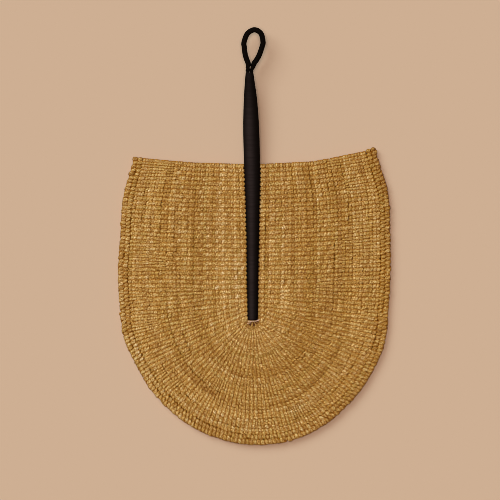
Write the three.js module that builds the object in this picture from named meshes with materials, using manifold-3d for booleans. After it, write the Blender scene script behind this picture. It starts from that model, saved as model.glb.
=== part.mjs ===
// Woven grass hand fan with a leather-covered handle, lying on its back.
// Millimetres. +Z comes out of the front face, and +Y runs up the handle to its hanging loop.
// The hub is where the handle ends and the twined courses turn round it.
import * as THREE from "three";
import { mergeVertices } from "three/addons/utils/BufferGeometryUtils.js";
import Module from "manifold-3d";

const wasm = await Module();
wasm.setup();

// The blade's outline, measured from the hub and from the handle's line, border and all
const leftReach = 161;
const rightReach = 164;
const drop = 149;
const leftRise = 196;
const rightRise = 205;
const spineRise = 187;
const leftDipDepth = 2;
const rightDipDepth = 5;
const leftSideShares = [0.98, 1, 0.985, 0.96, 0.887];
const rightSideShares = [0.983, 1, 1, 0.983, 0.897];
const lowerShares = [1, 0.954, 0.955, 0.978, 1, 1.007, 0.98, 0.981, 1];

// The stakes, and the weft twined round them in four bands that start where more stakes come in
const sideStakes = 35;
const radialStakes = [18, 38, 54, 88];
const bandShares = [0, 0.24, 0.505, 0.773, 1];
const bendShare = bandShares[2];
const stakeWidth = 2.4;
const stakeThickness = 2;
const stakeEnd = 1 - stakeWidth / drop;
const fanShare = 0.16;
const fanSpreadShare = 0.16;
const weftThickness = 0.9;
const ribHeight = 0.7;
const innerFaceSteps = { side: 20, lower: 20 };
const hubCrowdPower = 1.8;
const crownRise = 3.7;
const crownFallShare = 0.26;

// The border plaited along the sides and the bottom
const borderWidth = 11.2;
const borderHeight = 6.2;
const borderSteps = { side: 14, lower: 32 };
const borderSectionShares = [
  [-0.5, 0.3],
  [-0.5, 0.72],
  [-0.26, 1],
  [0, 0.7],
  [0.26, 1],
  [0.5, 0.72],
  [0.5, 0.3],
  [0.28, 0],
  [-0.28, 0],
];

// The handle: place along it, then width, thickness, lift off the table and drift to the left
const handleLength = 296.9;
const handleOverhang = 0.4;
const gripWidth = 19;
const gripThickness = 13;
const neckLift = 12;
const neckDrift = 3.8;
const handleShares = [
  [0, 0.64, 0.94, 0, 0],
  [0.3, 0.73, 0.97, 0, 0],
  [0.48, 0.85, 1, 0, 0],
  [0.64, 0.985, 1, 0, 0.2],
  [0.77, 1, 1, 0.2, 0.5],
  [0.85, 0.89, 0.93, 0.42, 0.62],
  [0.9, 0.8, 0.82, 0.58, 0.72],
  [0.95, 0.64, 0.68, 0.78, 0.9],
  [1, 0.47, 0.52, 1, 1],
];
const handleSectionShares = [
  [-0.7, 0],
  [0.7, 0],
  [1, 0.22],
  [1, 0.76],
  [0.86, 0.93],
  [0.4, 1],
  [-0.4, 1],
  [-0.86, 0.93],
  [-1, 0.76],
  [-1, 0.22],
];
const leatherWall = 0.75;
const coreEndShare = 0.95;

// The hanging loop: half its width and length on the strand's middle, from the neck up
const loopHalfWidth = 11.4;
const loopLength = 48.3;
const loopLift = 1.5;
const loopLean = 6;
const loopLeanPower = 0.6;
const strandWidth = 6.3;
const strandThickness = 6.2;
const legWidth = 3.1;
const legThickness = 4.8;
const loopBoreShare = 0.56;
const loopPathShares = [
  [0.146, -0.3, 0],
  [0.146, 0, 0],
  [0.235, 0.075, 0.6],
  [0.31, 0.153, 0.85],
  [0.513, 0.244, 0.95],
  [0.75, 0.379, 1],
  [0.94, 0.576, 1],
  [1, 0.687, 1],
  [0.785, 0.874, 1],
  [0.43, 0.965, 1],
];

// The thong bound round the neck, and the straw that ties the starter to the handle's end
const bindingHeight = 3;
const bindingWall = 0.8;
const tieWidth = 2.2;
const hubRadius = 8;
const starterRadius = 3;
const starterDrop = 2;
const crotchRadius = 5;
const hubFlarePower = 9;

// The running gap that separate pieces keep, and the length that cuts run past a piece
const gap = 0.3;
const overrun = 20;

const straw = new THREE.MeshStandardMaterial({ color: 0xb98a3f, roughness: 0.8, flatShading: true });
const paleStraw = new THREE.MeshStandardMaterial({ color: 0xd9b36a, roughness: 0.75, flatShading: true });
const leather = new THREE.MeshStandardMaterial({ color: 0x1c191b, roughness: 0.55, flatShading: true });

const fan = new THREE.Group();

// Adds one piece to the fan under its own name.
function addPiece(name, geometry, material) {
  const piece = new THREE.Mesh(geometry, material);
  piece.name = name;
  fan.add(piece);
}

// Makes a closed surface from points and triangles, with its faces turned outwards.
function closedSurface(points, faces) {
  const cross = new THREE.Vector3();
  let volume = 0;
  for (const [a, b, c] of faces) {
    volume += points[a].dot(cross.crossVectors(points[b], points[c]));
  }
  const outward = volume > 0 ? faces : faces.map(([a, b, c]) => [a, c, b]);
  const surface = new THREE.BufferGeometry().setFromPoints(points);
  surface.setIndex(outward.flat());
  return surface;
}

// Joins rings of equally many points into one solid with a closed end at each side.
function loft(rings) {
  const count = rings[0].length;
  const points = rings.flat();
  const faces = [];
  for (let row = 0; row < rings.length - 1; row += 1) {
    for (let i = 0; i < count; i += 1) {
      const next = (i + 1) % count;
      const [a, b] = [row * count + i, row * count + next];
      const [c, d] = [b + count, a + count];
      faces.push([a, b, c], [a, c, d]);
    }
  }
  for (const end of [0, rings.length - 1]) {
    const middle = rings[end].reduce((sum, p) => sum.add(p), new THREE.Vector3()).divideScalar(count);
    points.push(middle);
    for (let i = 0; i < count; i += 1) {
      const [a, b] = [end * count + i, end * count + ((i + 1) % count)];
      faces.push(end ? [a, b, points.length - 1] : [b, a, points.length - 1]);
    }
  }
  return closedSurface(points, faces);
}

// Joins outer and inner rings into a pipe that is open at both ends.
function pipe(outerRings, innerRings) {
  const count = outerRings[0].length;
  const rows = outerRings.length;
  const points = [...outerRings.flat(), ...innerRings.flat()];
  const bore = rows * count;
  const faces = [];
  for (let i = 0; i < count; i += 1) {
    const next = (i + 1) % count;
    for (let row = 0; row < rows - 1; row += 1) {
      const [a, b] = [row * count + i, row * count + next];
      const [c, d] = [b + count, a + count];
      faces.push([a, b, c], [a, c, d], [bore + a, bore + c, bore + b], [bore + a, bore + d, bore + c]);
    }
    const last = (rows - 1) * count;
    faces.push([next, i, bore + i], [next, bore + i, bore + next]);
    faces.push([last + i, last + next, bore + last + next]);
    faces.push([last + i, bore + last + next, bore + last + i]);
  }
  return closedSurface(points, faces);
}

// A flat bar of one width and thickness along a path, its width lying in the blade.
function bar(path, width, thickness) {
  const rings = path.map((point, i) => {
    const before = path[Math.max(i - 1, 0)];
    const after = path[Math.min(i + 1, path.length - 1)];
    const along = new THREE.Vector3().subVectors(after, before).setZ(0).normalize();
    const side = new THREE.Vector3(-along.y, along.x, 0).multiplyScalar(width / 2);
    const up = new THREE.Vector3(0, 0, thickness / 2);
    return [
      point.clone().sub(side).sub(up),
      point.clone().add(side).sub(up),
      point.clone().add(side).add(up),
      point.clone().sub(side).add(up),
    ];
  });
  return loft(rings);
}

// A solid for cuts and joins, and back.
function toSolid(geometry) {
  const bare = geometry.clone();
  bare.deleteAttribute("normal");
  bare.deleteAttribute("uv");
  const merged = mergeVertices(bare);
  const mesh = new wasm.Mesh({
    numProp: 3,
    vertProperties: merged.attributes.position.array,
    triVerts: new Uint32Array(merged.index.array),
  });
  return new wasm.Manifold(mesh);
}

function toGeometry(solid) {
  const { vertProperties, triVerts } = solid.getMesh();
  const geometry = new THREE.BufferGeometry();
  geometry.setAttribute("position", new THREE.BufferAttribute(vertProperties, 3));
  geometry.setIndex(new THREE.BufferAttribute(triVerts, 1));
  return geometry;
}

// Reads a smooth curve through equally spaced shares.
function smoothShare(shares, place) {
  const points = shares.map((share, i) => new THREE.Vector2(i, share));
  return new THREE.SplineCurve(points).getPoint(THREE.MathUtils.clamp(place, 0, 1)).y;
}

// The handle's outer section at a height above the hub.
function handleAt(height) {
  const place = THREE.MathUtils.clamp((height + handleOverhang) / handleLength, 0, 1);
  const above = Math.max(handleShares.findIndex((row) => row[0] >= place), 1);
  const [low, high] = [handleShares[above - 1], handleShares[above]];
  const mix = (place - low[0]) / (high[0] - low[0]);
  const between = (k) => THREE.MathUtils.lerp(low[k], high[k], mix);
  const [width, thickness, lift, drift] = [1, 2, 3, 4].map(between);
  return {
    middle: -neckDrift * drift,
    halfWidth: (gripWidth * width) / 2,
    bottom: neckLift * lift,
    thickness: gripThickness * thickness,
  };
}

// A ring of the handle's section, drawn in all round by an inset.
function handleRing(height, inset) {
  const { middle, halfWidth, bottom, thickness } = handleAt(height);
  return handleSectionShares.map(([across, up]) => {
    const x = middle + (halfWidth - inset) * across;
    const z = bottom + inset + (thickness - 2 * inset) * up;
    return new THREE.Vector3(x, height, z);
  });
}

function heightAtShare(share) {
  return share * handleLength - handleOverhang;
}

// The outline by turn: 0 at the left corner, 1 beside the hub, 2 after the bottom, 3 at the right corner.
function outlineAt(turn) {
  if (turn <= 1) {
    return new THREE.Vector2(-leftReach * smoothShare(leftSideShares, 1 - turn), leftRise * (1 - turn));
  }
  if (turn >= 2) {
    return new THREE.Vector2(rightReach * smoothShare(rightSideShares, turn - 2), rightRise * (turn - 2));
  }
  const angle = Math.PI * turn;
  const side = turn < 1.5 ? leftReach * leftSideShares[0] : rightReach * rightSideShares[0];
  const swell = smoothShare(lowerShares, turn - 1);
  return new THREE.Vector2(side * Math.cos(angle) * swell, drop * Math.sin(angle) * swell);
}

// A point drawn in from the outline, square to it.
function insetOutline(turn, inset) {
  const turnStep = 1 / sideStakes;
  const along = outlineAt(turn + turnStep).sub(outlineAt(turn - turnStep)).normalize();
  return outlineAt(turn).add(new THREE.Vector2(-along.y, along.x).multiplyScalar(inset));
}

// Where the weave starts: beside the leather, and round the open hub where the bare starter shows.
function spineAt(turn) {
  if (turn > 1 && turn < 2) {
    return new THREE.Vector2(Math.cos(Math.PI * turn), Math.sin(Math.PI * turn)).multiplyScalar(hubRadius);
  }
  const side = turn <= 1 ? -1 : 1;
  const height = spineRise * (turn <= 1 ? 1 - turn : turn - 2);
  const { middle, halfWidth } = handleAt(height);
  const flare = (hubRadius - handleAt(0).halfWidth - gap) * (1 - height / spineRise) ** hubFlarePower;
  return new THREE.Vector2(middle + side * (halfWidth + gap + flare), height);
}

// How high the middle of the weave lies: a shallow dome that comes down to the border.
function domeHeight(reach) {
  const rim = borderHeight / 2;
  const crown = rim + crownRise;
  const bend = crown - crownRise * crownFallShare;
  if (reach < bendShare) {
    return THREE.MathUtils.lerp(crown, bend, reach / bendShare);
  }
  return THREE.MathUtils.lerp(bend, rim, (reach - bendShare) / (1 - bendShare));
}

// The outline's turn where a line from the spine ends: the lines beside the hub fan out downwards.
function fannedTurn(turn) {
  if (turn > 1 && turn < 2) {
    return THREE.MathUtils.lerp(1 + fanShare, 2 - fanShare, turn - 1);
  }
  const fromHub = Math.max(1 - turn, turn - 2);
  const fan = fanShare * Math.exp(-((fromHub / fanSpreadShare) ** 2));
  return turn <= 1 ? turn + fan : turn - fan;
}

// A point of the weave's middle surface, from 0 at the spine to 1 at the border.
function bladePoint(turn, reach) {
  const point = spineAt(turn).lerp(insetOutline(fannedTurn(turn), borderWidth + gap), reach);
  const rise = Math.max(1 - turn, turn - 2, 0);
  const dip = (turn < 1 ? leftDipDepth : rightDipDepth) * rise * rise;
  const tent = reach < bendShare ? reach / bendShare : (1 - reach) / (1 - bendShare);
  return new THREE.Vector3(point.x, point.y - dip * tent, domeHeight(reach));
}

// Turns along the two sides and the round bottom, both ends included. A power crowds the sides' to the hub.
function spreadTurns({ side, lower }, crowdPower = 1) {
  const turns = [];
  for (let i = side; i > 0; i -= 1) {
    turns.push(1 - (i / side) ** crowdPower);
  }
  for (let i = 0; i < lower; i += 1) {
    turns.push(1 + i / lower);
  }
  for (let i = 0; i <= side; i += 1) {
    turns.push(2 + (i / side) ** crowdPower);
  }
  return turns;
}

// Closes two loops of points with triangles, where each loop has its own turns.
function zipLoops(outerTurns, innerTurns, innerStart, fullTurn) {
  const faces = [];
  const [outerCount, innerCount] = [outerTurns.length, innerTurns.length];
  let [i, j] = [0, 0];
  while (i < outerCount || j < innerCount) {
    const nextOuter = i + 1 < outerCount ? outerTurns[i + 1] : fullTurn;
    const nextInner = j + 1 < innerCount ? innerTurns[j + 1] : fullTurn;
    const [outer, inner] = [i % outerCount, innerStart + (j % innerCount)];
    if (j === innerCount || (i < outerCount && nextOuter <= nextInner)) {
      faces.push([(i + 1) % outerCount, outer, inner]);
      i += 1;
    } else {
      faces.push([outer, inner, innerStart + ((j + 1) % innerCount)]);
      j += 1;
    }
  }
  return faces;
}

// One band of twined weft: ribbed over every stake outside, flat inside, turned round the top at both ends.
function twinedBand(startReach, endReach, radialCount) {
  const inside = stakeThickness / 2 + gap;
  const valley = inside + weftThickness;
  const fullTurn = 6;
  const ribTurns = spreadTurns({ side: 2 * sideStakes, lower: 2 * radialCount });
  const endWall = weftThickness / spineRise;
  const flatTurns = spreadTurns(innerFaceSteps, hubCrowdPower).map((turn) =>
    THREE.MathUtils.clamp(turn, endWall, 3 - endWall),
  );
  const outer = ribTurns.map((turn, i) => ({ turn, up: i % 2 ? valley + ribHeight : valley }));
  const inner = flatTurns.map((turn) => ({ turn, up: inside }));
  const loops = [outer, inner].map((face) => [
    ...face.map(({ turn, up }) => ({ turn, up, place: turn })),
    ...[...face].reverse().map(({ turn, up }) => ({ turn, up: -up, place: fullTurn - turn })),
  ]);
  const places = loops.map((loop) => loop.map(({ place }) => place));
  const ends = [startReach, endReach].map((reach) =>
    loops.flat().map(({ turn, up }) => bladePoint(turn, reach).add(new THREE.Vector3(0, 0, up))),
  );
  const size = ends[0].length;
  const [outerCount, innerCount] = loops.map((loop) => loop.length);
  const faces = [];
  for (let i = 0; i < outerCount; i += 1) {
    const next = (i + 1) % outerCount;
    faces.push([i, next, size + next], [i, size + next, size + i]);
  }
  for (let i = 0; i < innerCount; i += 1) {
    const [a, b] = [outerCount + i, outerCount + ((i + 1) % innerCount)];
    faces.push([a, size + b, b], [a, size + a, size + b]);
  }
  const cap = zipLoops(places[0], places[1], outerCount, fullTurn);
  faces.push(...cap, ...cap.map(([a, b, c]) => [size + a, size + c, size + b]));
  return closedSurface(ends.flat(), faces);
}

// Straws that run from side to side through the handle, with the weft twined round them
function makeStakes() {
  for (let i = 0; i < sideStakes; i += 1) {
    const turn = (i + 0.5) / sideStakes;
    const middle = bladePoint(turn, 0).add(bladePoint(3 - turn, 0)).divideScalar(2);
    const path = [
      bladePoint(turn, stakeEnd),
      bladePoint(turn, bendShare),
      middle,
      bladePoint(3 - turn, bendShare),
      bladePoint(3 - turn, stakeEnd),
    ];
    const name = "stake_" + String(i + 1).padStart(2, "0");
    addPiece(name, bar(path, stakeWidth, stakeThickness), straw);
  }
}

// A point beside a stake's line, as far to its side as asked.
function besideStake(turn, reach, sideways) {
  const point = bladePoint(turn, reach);
  const along = new THREE.Vector3().subVectors(point, bladePoint(turn, 0)).setZ(0).normalize();
  return point.add(new THREE.Vector3(-along.y, along.x, 0).multiplyScalar(sideways));
}

// One arm of the starter as an outline: out along its first branch, back to the fork, and round the second.
function starterArm(turn, spread) {
  const half = stakeWidth / 2;
  const forkReach = bandShares[1];
  const [first, second] = [turn - spread, turn + spread].map((branch) => [
    besideStake(branch, bendShare, -half),
    besideStake(branch, stakeEnd, -half),
    besideStake(branch, stakeEnd, half),
    besideStake(branch, bendShare, half),
  ]);
  const crotch = besideStake(turn, forkReach + stakeWidth / drop, 0);
  const start = besideStake(turn, forkReach, -half);
  const end = besideStake(turn, forkReach, half);
  return [start, ...first, crotch, ...second, end];
}

// The starter: straws gathered at the hub, fanned out in eighteen and split in two at the second band
function makeStarter() {
  const arms = radialStakes[0];
  const firstBranch = [[0, 1, 4], [0, 4, 5], [1, 2, 3], [1, 3, 4]];
  const secondBranch = [[5, 6, 9], [5, 9, 10], [6, 7, 8], [6, 8, 9]];
  const armFaces = [...firstBranch, ...secondBranch, [0, 5, 10]];
  const outline = [];
  const caps = [];
  const heart = [];
  for (let i = 0; i < arms; i += 1) {
    const start = outline.length;
    caps.push(...armFaces.map((face) => face.map((corner) => start + corner)));
    outline.push(...starterArm(1 + (i + 0.5) / arms, 0.25 / arms));
    heart.push(start, outline.length - 1);
    if (i < arms - 1) {
      const crotch = bladePoint(1 + (i + 1) / arms, bandShares[1]).setZ(0).setLength(crotchRadius);
      heart.push(outline.length);
      outline.push(crotch.setZ(domeHeight(0)));
    }
  }
  for (const share of [1 / 6, 1 / 2, 5 / 6]) {
    const [x, y] = [starterRadius * Math.cos(Math.PI * share), starterRadius * Math.sin(Math.PI * share)];
    heart.push(outline.length);
    outline.push(new THREE.Vector3(x, y - starterDrop, domeHeight(0)));
  }
  const heartOutline = heart.map((corner) => new THREE.Vector2(outline[corner].x, outline[corner].y));
  const heartFaces = THREE.ShapeUtils.triangulateShape(heartOutline, []);
  caps.push(...heartFaces.map((face) => face.map((corner) => heart[corner])));
  const up = new THREE.Vector3(0, 0, stakeThickness / 2);
  const points = [...outline.map((p) => p.clone().add(up)), ...outline.map((p) => p.clone().sub(up))];
  const count = outline.length;
  const faces = [...caps, ...caps.map(([a, b, c]) => [count + a, count + c, count + b])];
  for (let i = 0; i < count; i += 1) {
    const next = (i + 1) % count;
    faces.push([next, i, count + i], [next, count + i, count + next]);
  }
  addPiece("starter_bundle", closedSurface(points, faces), straw);
}

// The weft, in four bands from the handle out to the border
function makeBands() {
  const gapShare = gap / drop;
  radialStakes.forEach((count, i) => {
    const start = bandShares[i] + (i ? gapShare : 0);
    const end = bandShares[i + 1] - (i < radialStakes.length - 1 ? gapShare : 0);
    addPiece("twined_band_" + (i + 1), twinedBand(start, end, count), straw);
  });
}

// The border: two rows of knots with a groove between, down one side, round the bottom and up the other
function makeBorder() {
  const turns = spreadTurns(borderSteps);
  const rings = turns.map((turn) =>
    borderSectionShares.map(([across, up]) => {
      const { x, y } = insetOutline(turn, borderWidth * (0.5 + across));
      return new THREE.Vector3(x, y, borderHeight * up);
    }),
  );
  addPiece("rim_border", loft(rings), straw);
}

// The slot from side to side that the stakes and the starter lie in
function stakeSlot() {
  const length = spineRise + overrun;
  const slot = new THREE.BoxGeometry(gripWidth + overrun, length, stakeThickness + 2 * gap);
  slot.translate(0, spineRise - length / 2, domeHeight(0));
  return toSolid(slot);
}

// The straw core of the handle, forked round the stakes from the blade's top edge to the hub
function makeCore() {
  const shares = handleShares.map((row) => row[0]).filter((share) => share <= coreEndShare);
  const rings = shares.map((share) => handleRing(heightAtShare(share), leatherWall + gap));
  const core = toSolid(loft(rings)).subtract(stakeSlot());
  addPiece("handle_core", toGeometry(core), paleStraw);
}

// The leather sewn round the handle, flat at the back, open at its mouth and slotted for the stakes
function makeSleeve() {
  const heights = handleShares.map((row) => heightAtShare(row[0]));
  const outer = heights.map((height) => handleRing(height, 0));
  const inner = heights.map((height) => handleRing(height, leatherWall));
  const sleeve = toSolid(pipe(outer, inner)).subtract(stakeSlot());
  addPiece("leather_sleeve", toGeometry(sleeve), leather);
}

// The middle of the loop's strand: up one leg, round the top and down the other
function loopPath() {
  const neck = heightAtShare(1) + gap + bindingHeight;
  const mouth = [loopPathShares[0][0], -(gap + bindingHeight) / loopLength, 0];
  const rows = [loopPathShares[0], mouth, ...loopPathShares.slice(1)];
  const leg = rows.map(([across, up, full]) => ({ across, up, full }));
  const stations = [
    ...leg.map(({ across, up, full }) => ({ across: -across, up, full })),
    { across: 0, up: 1, full: 1 },
    ...leg.reverse(),
  ];
  return stations.map(({ across, up, full }) => {
    const free = Math.max(up, 0);
    const height = neck + loopLength * up;
    const { middle, bottom, thickness } = handleAt(height);
    const point = new THREE.Vector3(
      middle + loopHalfWidth * across + loopLean * free ** loopLeanPower,
      height,
      bottom + thickness / 2 + loopLift * free,
    );
    return { point, full };
  });
}

// Oval rings square to the loop's path, each a share of the strand's size less an inset.
function loopRings(sizeShare, inset) {
  const sides = 8;
  const path = loopPath();
  return path.map(({ point, full }, i) => {
    const before = path[Math.max(i - 1, 0)].point;
    const after = path[Math.min(i + 1, path.length - 1)].point;
    const along = new THREE.Vector3().subVectors(after, before).normalize();
    const side = new THREE.Vector3(-along.y, along.x, 0).normalize();
    const up = new THREE.Vector3().crossVectors(along, side);
    const width = THREE.MathUtils.lerp(legWidth, strandWidth, full);
    const halfWidth = (width / 2) * sizeShare - inset;
    const thickness = THREE.MathUtils.lerp(legThickness, strandThickness, full);
    const halfThickness = (thickness / 2) * sizeShare - inset;
    return Array.from({ length: sides }, (_, k) => {
      const angle = ((k + 0.5) / sides) * 2 * Math.PI;
      return point
        .clone()
        .addScaledVector(side, halfWidth * Math.cos(angle))
        .addScaledVector(up, halfThickness * Math.sin(angle));
    });
  });
}

// The loop: a leather skin sewn round a straw cord, its two legs tucked into the sleeve's mouth
function makeLoop() {
  addPiece("loop_skin", pipe(loopRings(1, 0), loopRings(loopBoreShare, 0)), leather);
  addPiece("loop_core", loft(loopRings(loopBoreShare, gap)), paleStraw);
}

// The thong bound round both legs of the loop, on the sleeve's mouth
function makeBinding() {
  const sides = 12;
  const start = heightAtShare(1) + gap;
  const { middle, bottom, thickness } = handleAt(start);
  const legsHalfWidth = loopHalfWidth * loopPathShares[0][0] + legWidth / 2;
  const ring = (height, extra) =>
    Array.from({ length: sides }, (_, k) => {
      const angle = ((k + 0.5) / sides) * 2 * Math.PI;
      const x = middle + (legsHalfWidth + gap + extra) * Math.cos(angle);
      const z = bottom + thickness / 2 + (legThickness / 2 + gap + extra) * Math.sin(angle);
      return new THREE.Vector3(x, height, z);
    });
  const heights = [start, start + bindingHeight / 2, start + bindingHeight];
  const swellShares = [0.7, 1, 0.7];
  const outer = heights.map((height, i) => ring(height, gap + bindingWall * swellShares[i]));
  const inner = heights.map((height) => ring(height, gap));
  addPiece("neck_binding", pipe(outer, inner), leather);
}

// The pale straw that crosses the front of the starter below the leather's end
function makeTie() {
  const sides = 8;
  const y = -handleOverhang - gap - tieWidth / 2;
  const z = domeHeight(0) + stakeThickness / 2 + gap + tieWidth / 2;
  const tieLength = 2 * Math.sqrt((hubRadius - gap) ** 2 - (y - tieWidth / 2) ** 2);
  const endShares = [
    [-0.5, 0.4],
    [-0.4, 1],
    [0.4, 1],
    [0.5, 0.4],
  ];
  const rings = endShares.map(([across, girth]) =>
    Array.from({ length: sides }, (_, k) => {
      const angle = ((k + 0.5) / sides) * 2 * Math.PI;
      const radius = (tieWidth / 2) * girth;
      const x = tieLength * across;
      return new THREE.Vector3(x, y + radius * Math.cos(angle), z + radius * Math.sin(angle));
    }),
  );
  addPiece("hub_tie", loft(rings), paleStraw);
}

makeStakes();
makeStarter();
makeBands();
makeBorder();
makeCore();
makeSleeve();
makeLoop();
makeBinding();
makeTie();

// The origin is on the table, under the middle of the whole fan.
const box = new THREE.Box3().setFromObject(fan);
const middle = box.getCenter(new THREE.Vector3());
fan.position.set(-middle.x, -middle.y, -box.min.z);

export default fan;
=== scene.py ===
# A woven straw hand fan with a leather handle, lying on a pale brown table. Metres, +Z up.
import math

import bpy
import numpy as np
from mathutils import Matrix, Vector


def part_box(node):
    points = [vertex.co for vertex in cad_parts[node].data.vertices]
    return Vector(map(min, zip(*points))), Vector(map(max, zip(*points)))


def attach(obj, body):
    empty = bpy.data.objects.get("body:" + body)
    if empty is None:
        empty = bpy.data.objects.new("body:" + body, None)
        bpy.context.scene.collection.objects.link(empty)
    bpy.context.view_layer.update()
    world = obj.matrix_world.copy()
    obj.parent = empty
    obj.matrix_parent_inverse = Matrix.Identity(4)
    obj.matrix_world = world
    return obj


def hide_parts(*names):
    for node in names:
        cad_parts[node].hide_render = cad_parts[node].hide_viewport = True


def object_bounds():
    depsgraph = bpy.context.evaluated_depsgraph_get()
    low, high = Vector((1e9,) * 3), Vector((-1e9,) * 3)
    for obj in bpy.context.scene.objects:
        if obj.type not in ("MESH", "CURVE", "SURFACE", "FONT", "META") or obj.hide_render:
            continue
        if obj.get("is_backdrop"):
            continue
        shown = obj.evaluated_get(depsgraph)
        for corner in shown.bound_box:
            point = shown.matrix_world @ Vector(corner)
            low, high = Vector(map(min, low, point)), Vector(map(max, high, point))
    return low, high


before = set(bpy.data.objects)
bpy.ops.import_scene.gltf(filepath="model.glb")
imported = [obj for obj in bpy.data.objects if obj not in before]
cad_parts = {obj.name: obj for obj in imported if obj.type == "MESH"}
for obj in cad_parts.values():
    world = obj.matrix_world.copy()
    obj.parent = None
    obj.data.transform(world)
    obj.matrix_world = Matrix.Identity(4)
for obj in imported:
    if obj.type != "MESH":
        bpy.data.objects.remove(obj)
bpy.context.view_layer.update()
bpy.ops.object.select_all(action="DESELECT")

# The twined weft. Two rolled straw strands cross at every gap between the stakes, so each course
# shows one slanting bump over each stake, front and back. The courses run down one side of the
# handle, round the bottom and up the other, and turn round the top stake at both ends.
MM = 0.001
hub_x = (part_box("hub_tie")[0].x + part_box("hub_tie")[1].x) / 2
handle_overhang = 0.4 * MM
hub_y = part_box("leather_sleeve")[0].y + handle_overhang
rim_low, rim_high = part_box("rim_border")
left_reach = hub_x - rim_low.x
right_reach = rim_high.x - hub_x
drop = hub_y - rim_low.y
left_rise = 196 * MM
right_rise = rim_high.y - hub_y
spine_rise = 187 * MM
# The top edge sags by these dips between the handle and its corners.
left_dip = 2 * MM
right_dip = 5 * MM
# The outline, as shares of its reach: up the left side, up the right side, and round the bottom.
left_side_shares = [0.98, 1, 0.985, 0.96, 0.887]
right_side_shares = [0.983, 1, 1, 0.983, 0.897]
lower_shares = [1, 0.954, 0.955, 0.978, 1, 1.007, 0.98, 0.981, 1]
# The weave flares out round the open hub, and low on the handle the leather covers its inner edge.
hub_radius = 8 * MM
hub_flare_power = 9
hug_depth = 1.3 * MM
hug_bottom, hug_top = 10 * MM, 56 * MM
running_gap = 0.5 * MM
border_width = 11.2 * MM
border_middle = (rim_low.z + rim_high.z) / 2
# The blade is slightly domed, from the border up to the crown beside the handle.
crown_rise = 3.7 * MM
crown_fall_share = 0.26
# The lines beside the hub fan out downwards by this share of a half turn, less and less further up.
fan_share = 0.16
fan_spread_share = 0.16
# The weave in four bands from the handle to the border, and the stakes on each side of the handle.
band_shares = [0, 0.24, 0.505, 0.773, 1]
band_courses = [9, 10, 9, 8]
side_stakes = 35
bend_share = band_shares[2]

# The handle, which the weave lies against: its width, thickness, rise and drift to the left at places
# from the hub to the neck, as shares of the most.
handle_length = 296.9 * MM
grip_width = 19 * MM
grip_thickness = 13 * MM
neck_lift = 12 * MM
neck_drift = 3.8 * MM
handle_places = [0, 0.3, 0.48, 0.64, 0.77, 0.85, 0.9, 0.95, 1]
handle_widths = [0.64, 0.73, 0.85, 0.985, 1, 0.89, 0.8, 0.64, 0.47]
handle_thicknesses = [0.94, 0.97, 1, 1, 1, 0.93, 0.82, 0.68, 0.52]
handle_lifts = [0, 0, 0, 0, 0.2, 0.42, 0.58, 0.78, 1]
handle_drifts = [0, 0, 0, 0.2, 0.5, 0.62, 0.72, 0.9, 1]


def smooth_share(shares, place):
    """A smooth line through evenly spaced shares, read at a place from 0 to 1."""
    shares = np.asarray(shares, float)
    last = len(shares) - 1
    place = np.clip(place, 0, 1) * last
    low = place.astype(int)
    t = place - low
    before = shares[np.maximum(low - 1, 0)]
    here = shares[low]
    there = shares[np.minimum(low + 1, last)]
    after = shares[np.minimum(low + 2, last)]
    start = (there - before) / 2
    end = (after - here) / 2
    bend = 2 * here - 2 * there + start + end
    return ((bend * t + 3 * (there - here) - 2 * start - end) * t + start) * t + here


def outline_at(turn):
    """The fan's outline from the hub: 0 at the left corner, 1 to 2 round the bottom, 3 at the right."""
    angle = math.pi * turn
    level_left, level_right = left_reach * left_side_shares[0], right_reach * right_side_shares[0]
    lower_side = np.where(turn < 1.5, level_left, level_right)
    swell = smooth_share(lower_shares, turn - 1)
    left_x = -left_reach * smooth_share(left_side_shares, 1 - turn)
    right_x = right_reach * smooth_share(right_side_shares, turn - 2)
    x = np.select([turn <= 1, turn >= 2], [left_x, right_x], lower_side * np.cos(angle) * swell)
    lower_y = drop * np.sin(angle) * swell
    y = np.select([turn <= 1, turn >= 2], [left_rise * (1 - turn), right_rise * (turn - 2)], lower_y)
    return np.stack([x, y], axis=-1)


def inset_outline(turn, inset):
    """A line drawn in from the outline, square to it."""
    step = 1 / side_stakes
    along = outline_at(turn + step) - outline_at(turn - step)
    along /= np.linalg.norm(along, axis=-1, keepdims=True)
    return outline_at(turn) + inset * np.stack([-along[..., 1], along[..., 0]], axis=-1)


def handle_at(height):
    """The handle's middle, half width, underside and thickness at a height above the hub."""
    place = (height + handle_overhang) / handle_length
    middle = -neck_drift * np.interp(place, handle_places, handle_drifts)
    half_width = grip_width / 2 * np.interp(place, handle_places, handle_widths)
    bottom = neck_lift * np.interp(place, handle_places, handle_lifts)
    thickness = grip_thickness * np.interp(place, handle_places, handle_thicknesses)
    return middle, half_width, bottom, thickness


def spine_at(turn):
    """Where the weave starts: beside the leather, and round the open hub."""
    height = spine_rise * np.maximum(np.maximum(1 - turn, turn - 2), 0)
    side = np.where(turn < 1.5, -1, 1)
    middle, half_width, _, _ = handle_at(height)
    flare = (hub_radius - handle_at(0)[1] - running_gap) * (1 - height / spine_rise) ** hub_flare_power
    hug = hug_depth * np.clip((hug_top - height) / (hug_top - hug_bottom), 0, 1)
    beside_x = middle + side * (half_width + running_gap + flare - hug)
    round_hub = (turn > 1) & (turn < 2)
    x = np.where(round_hub, hub_radius * np.cos(math.pi * turn), beside_x)
    y = np.where(round_hub, hub_radius * np.sin(math.pi * turn), height)
    return np.stack([x, y], axis=-1)


def fanned_turn(turn):
    """Where a line from the spine ends on the outline: the lines beside the hub fan out downwards."""
    from_hub = np.maximum(1 - turn, turn - 2)
    fan = fan_share * np.exp(-((from_hub / fan_spread_share) ** 2))
    beside = np.where(turn < 1.5, turn + fan, turn - fan)
    return np.where(from_hub < 0, 1 + fan_share + (turn - 1) * (1 - 2 * fan_share), beside)


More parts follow.
